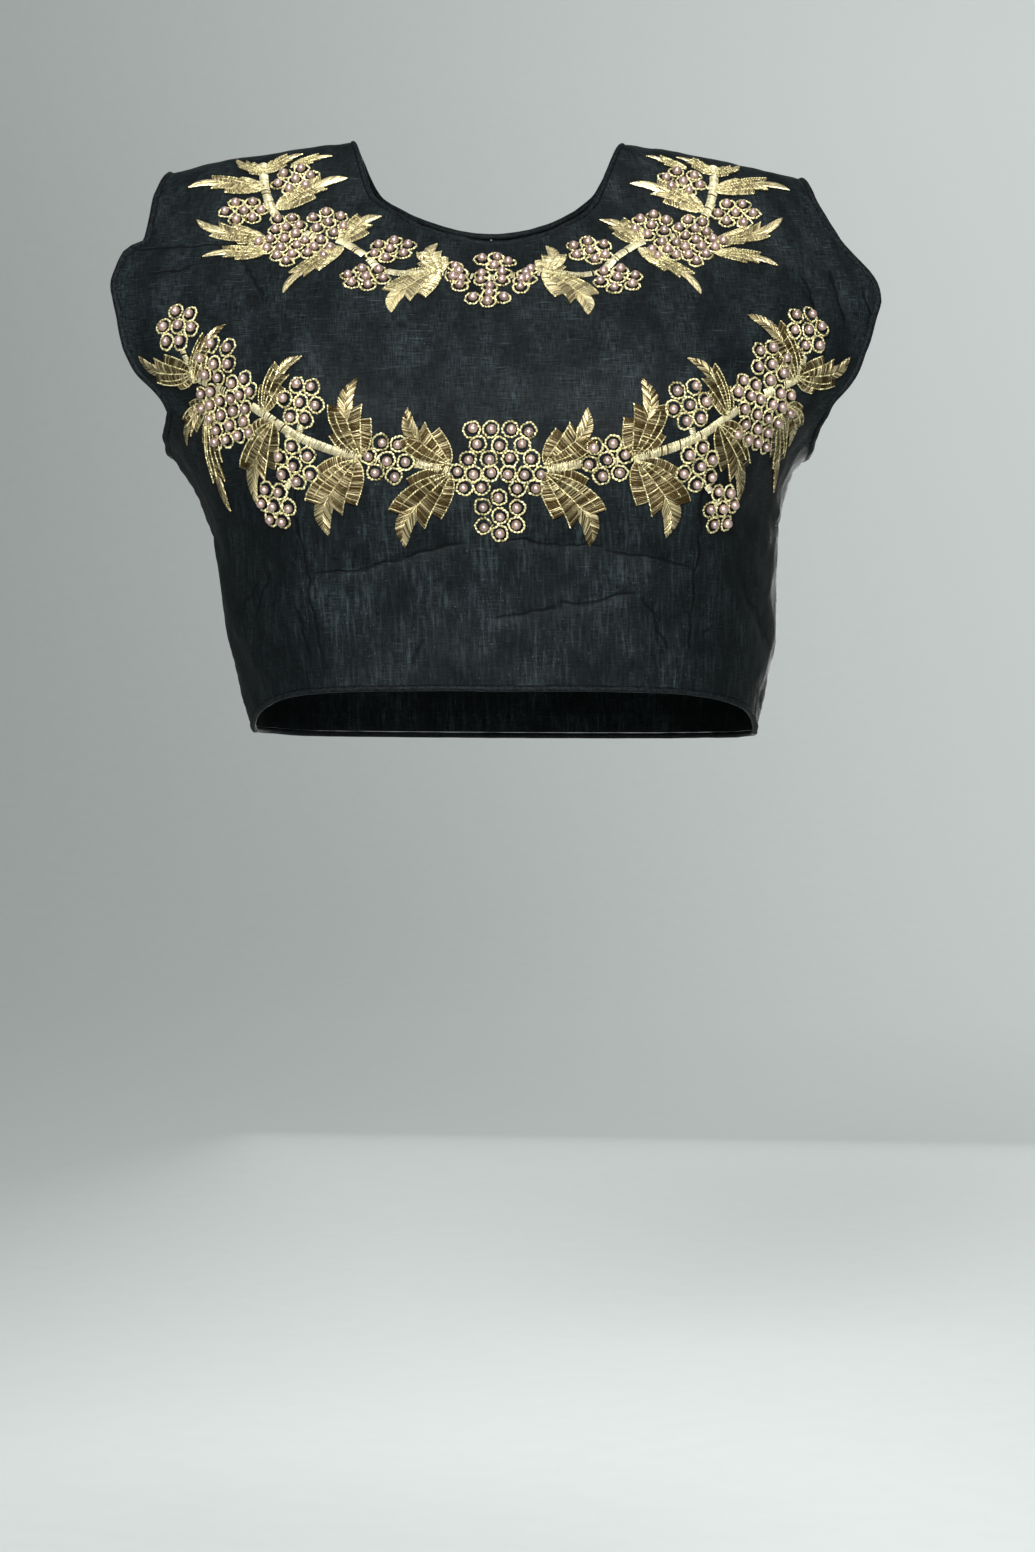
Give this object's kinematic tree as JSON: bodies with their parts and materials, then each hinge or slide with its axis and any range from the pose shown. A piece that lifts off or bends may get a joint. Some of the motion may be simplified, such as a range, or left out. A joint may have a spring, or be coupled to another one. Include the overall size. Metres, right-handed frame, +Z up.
{
  "type": "choli blouse",
  "caption": "Black raw silk choli blouse in its worn form, sleeveless with a boat neck, and a gold zari vine with copper pearls across chest and waist.",
  "frame": {"origin": "midway between the two shoulder seams, where the wearer's shoulders carry the blouse", "axes": "+X to the wearer's left, -Y to the front, +Z up"},
  "size_m": [0.3719, 0.2245, 0.2967],
  "materials": {
    "raw_silk": "matte slubbed silk",
    "silk_piping": "satin bias binding",
    "gold_embroidery": "metallic thread embroidery"
  },
  "bodies": {
    "root": {"front": "raw_silk", "back_left": "raw_silk", "back_right": "raw_silk", "back_placket": "raw_silk", "neck_piping": "silk_piping", "hem_piping": "silk_piping", "armhole_piping_left": "silk_piping", "armhole_piping_right": "silk_piping", "bust_garland": "gold_embroidery", "neck_garland": "gold_embroidery"}
  },
  "joints": []
}
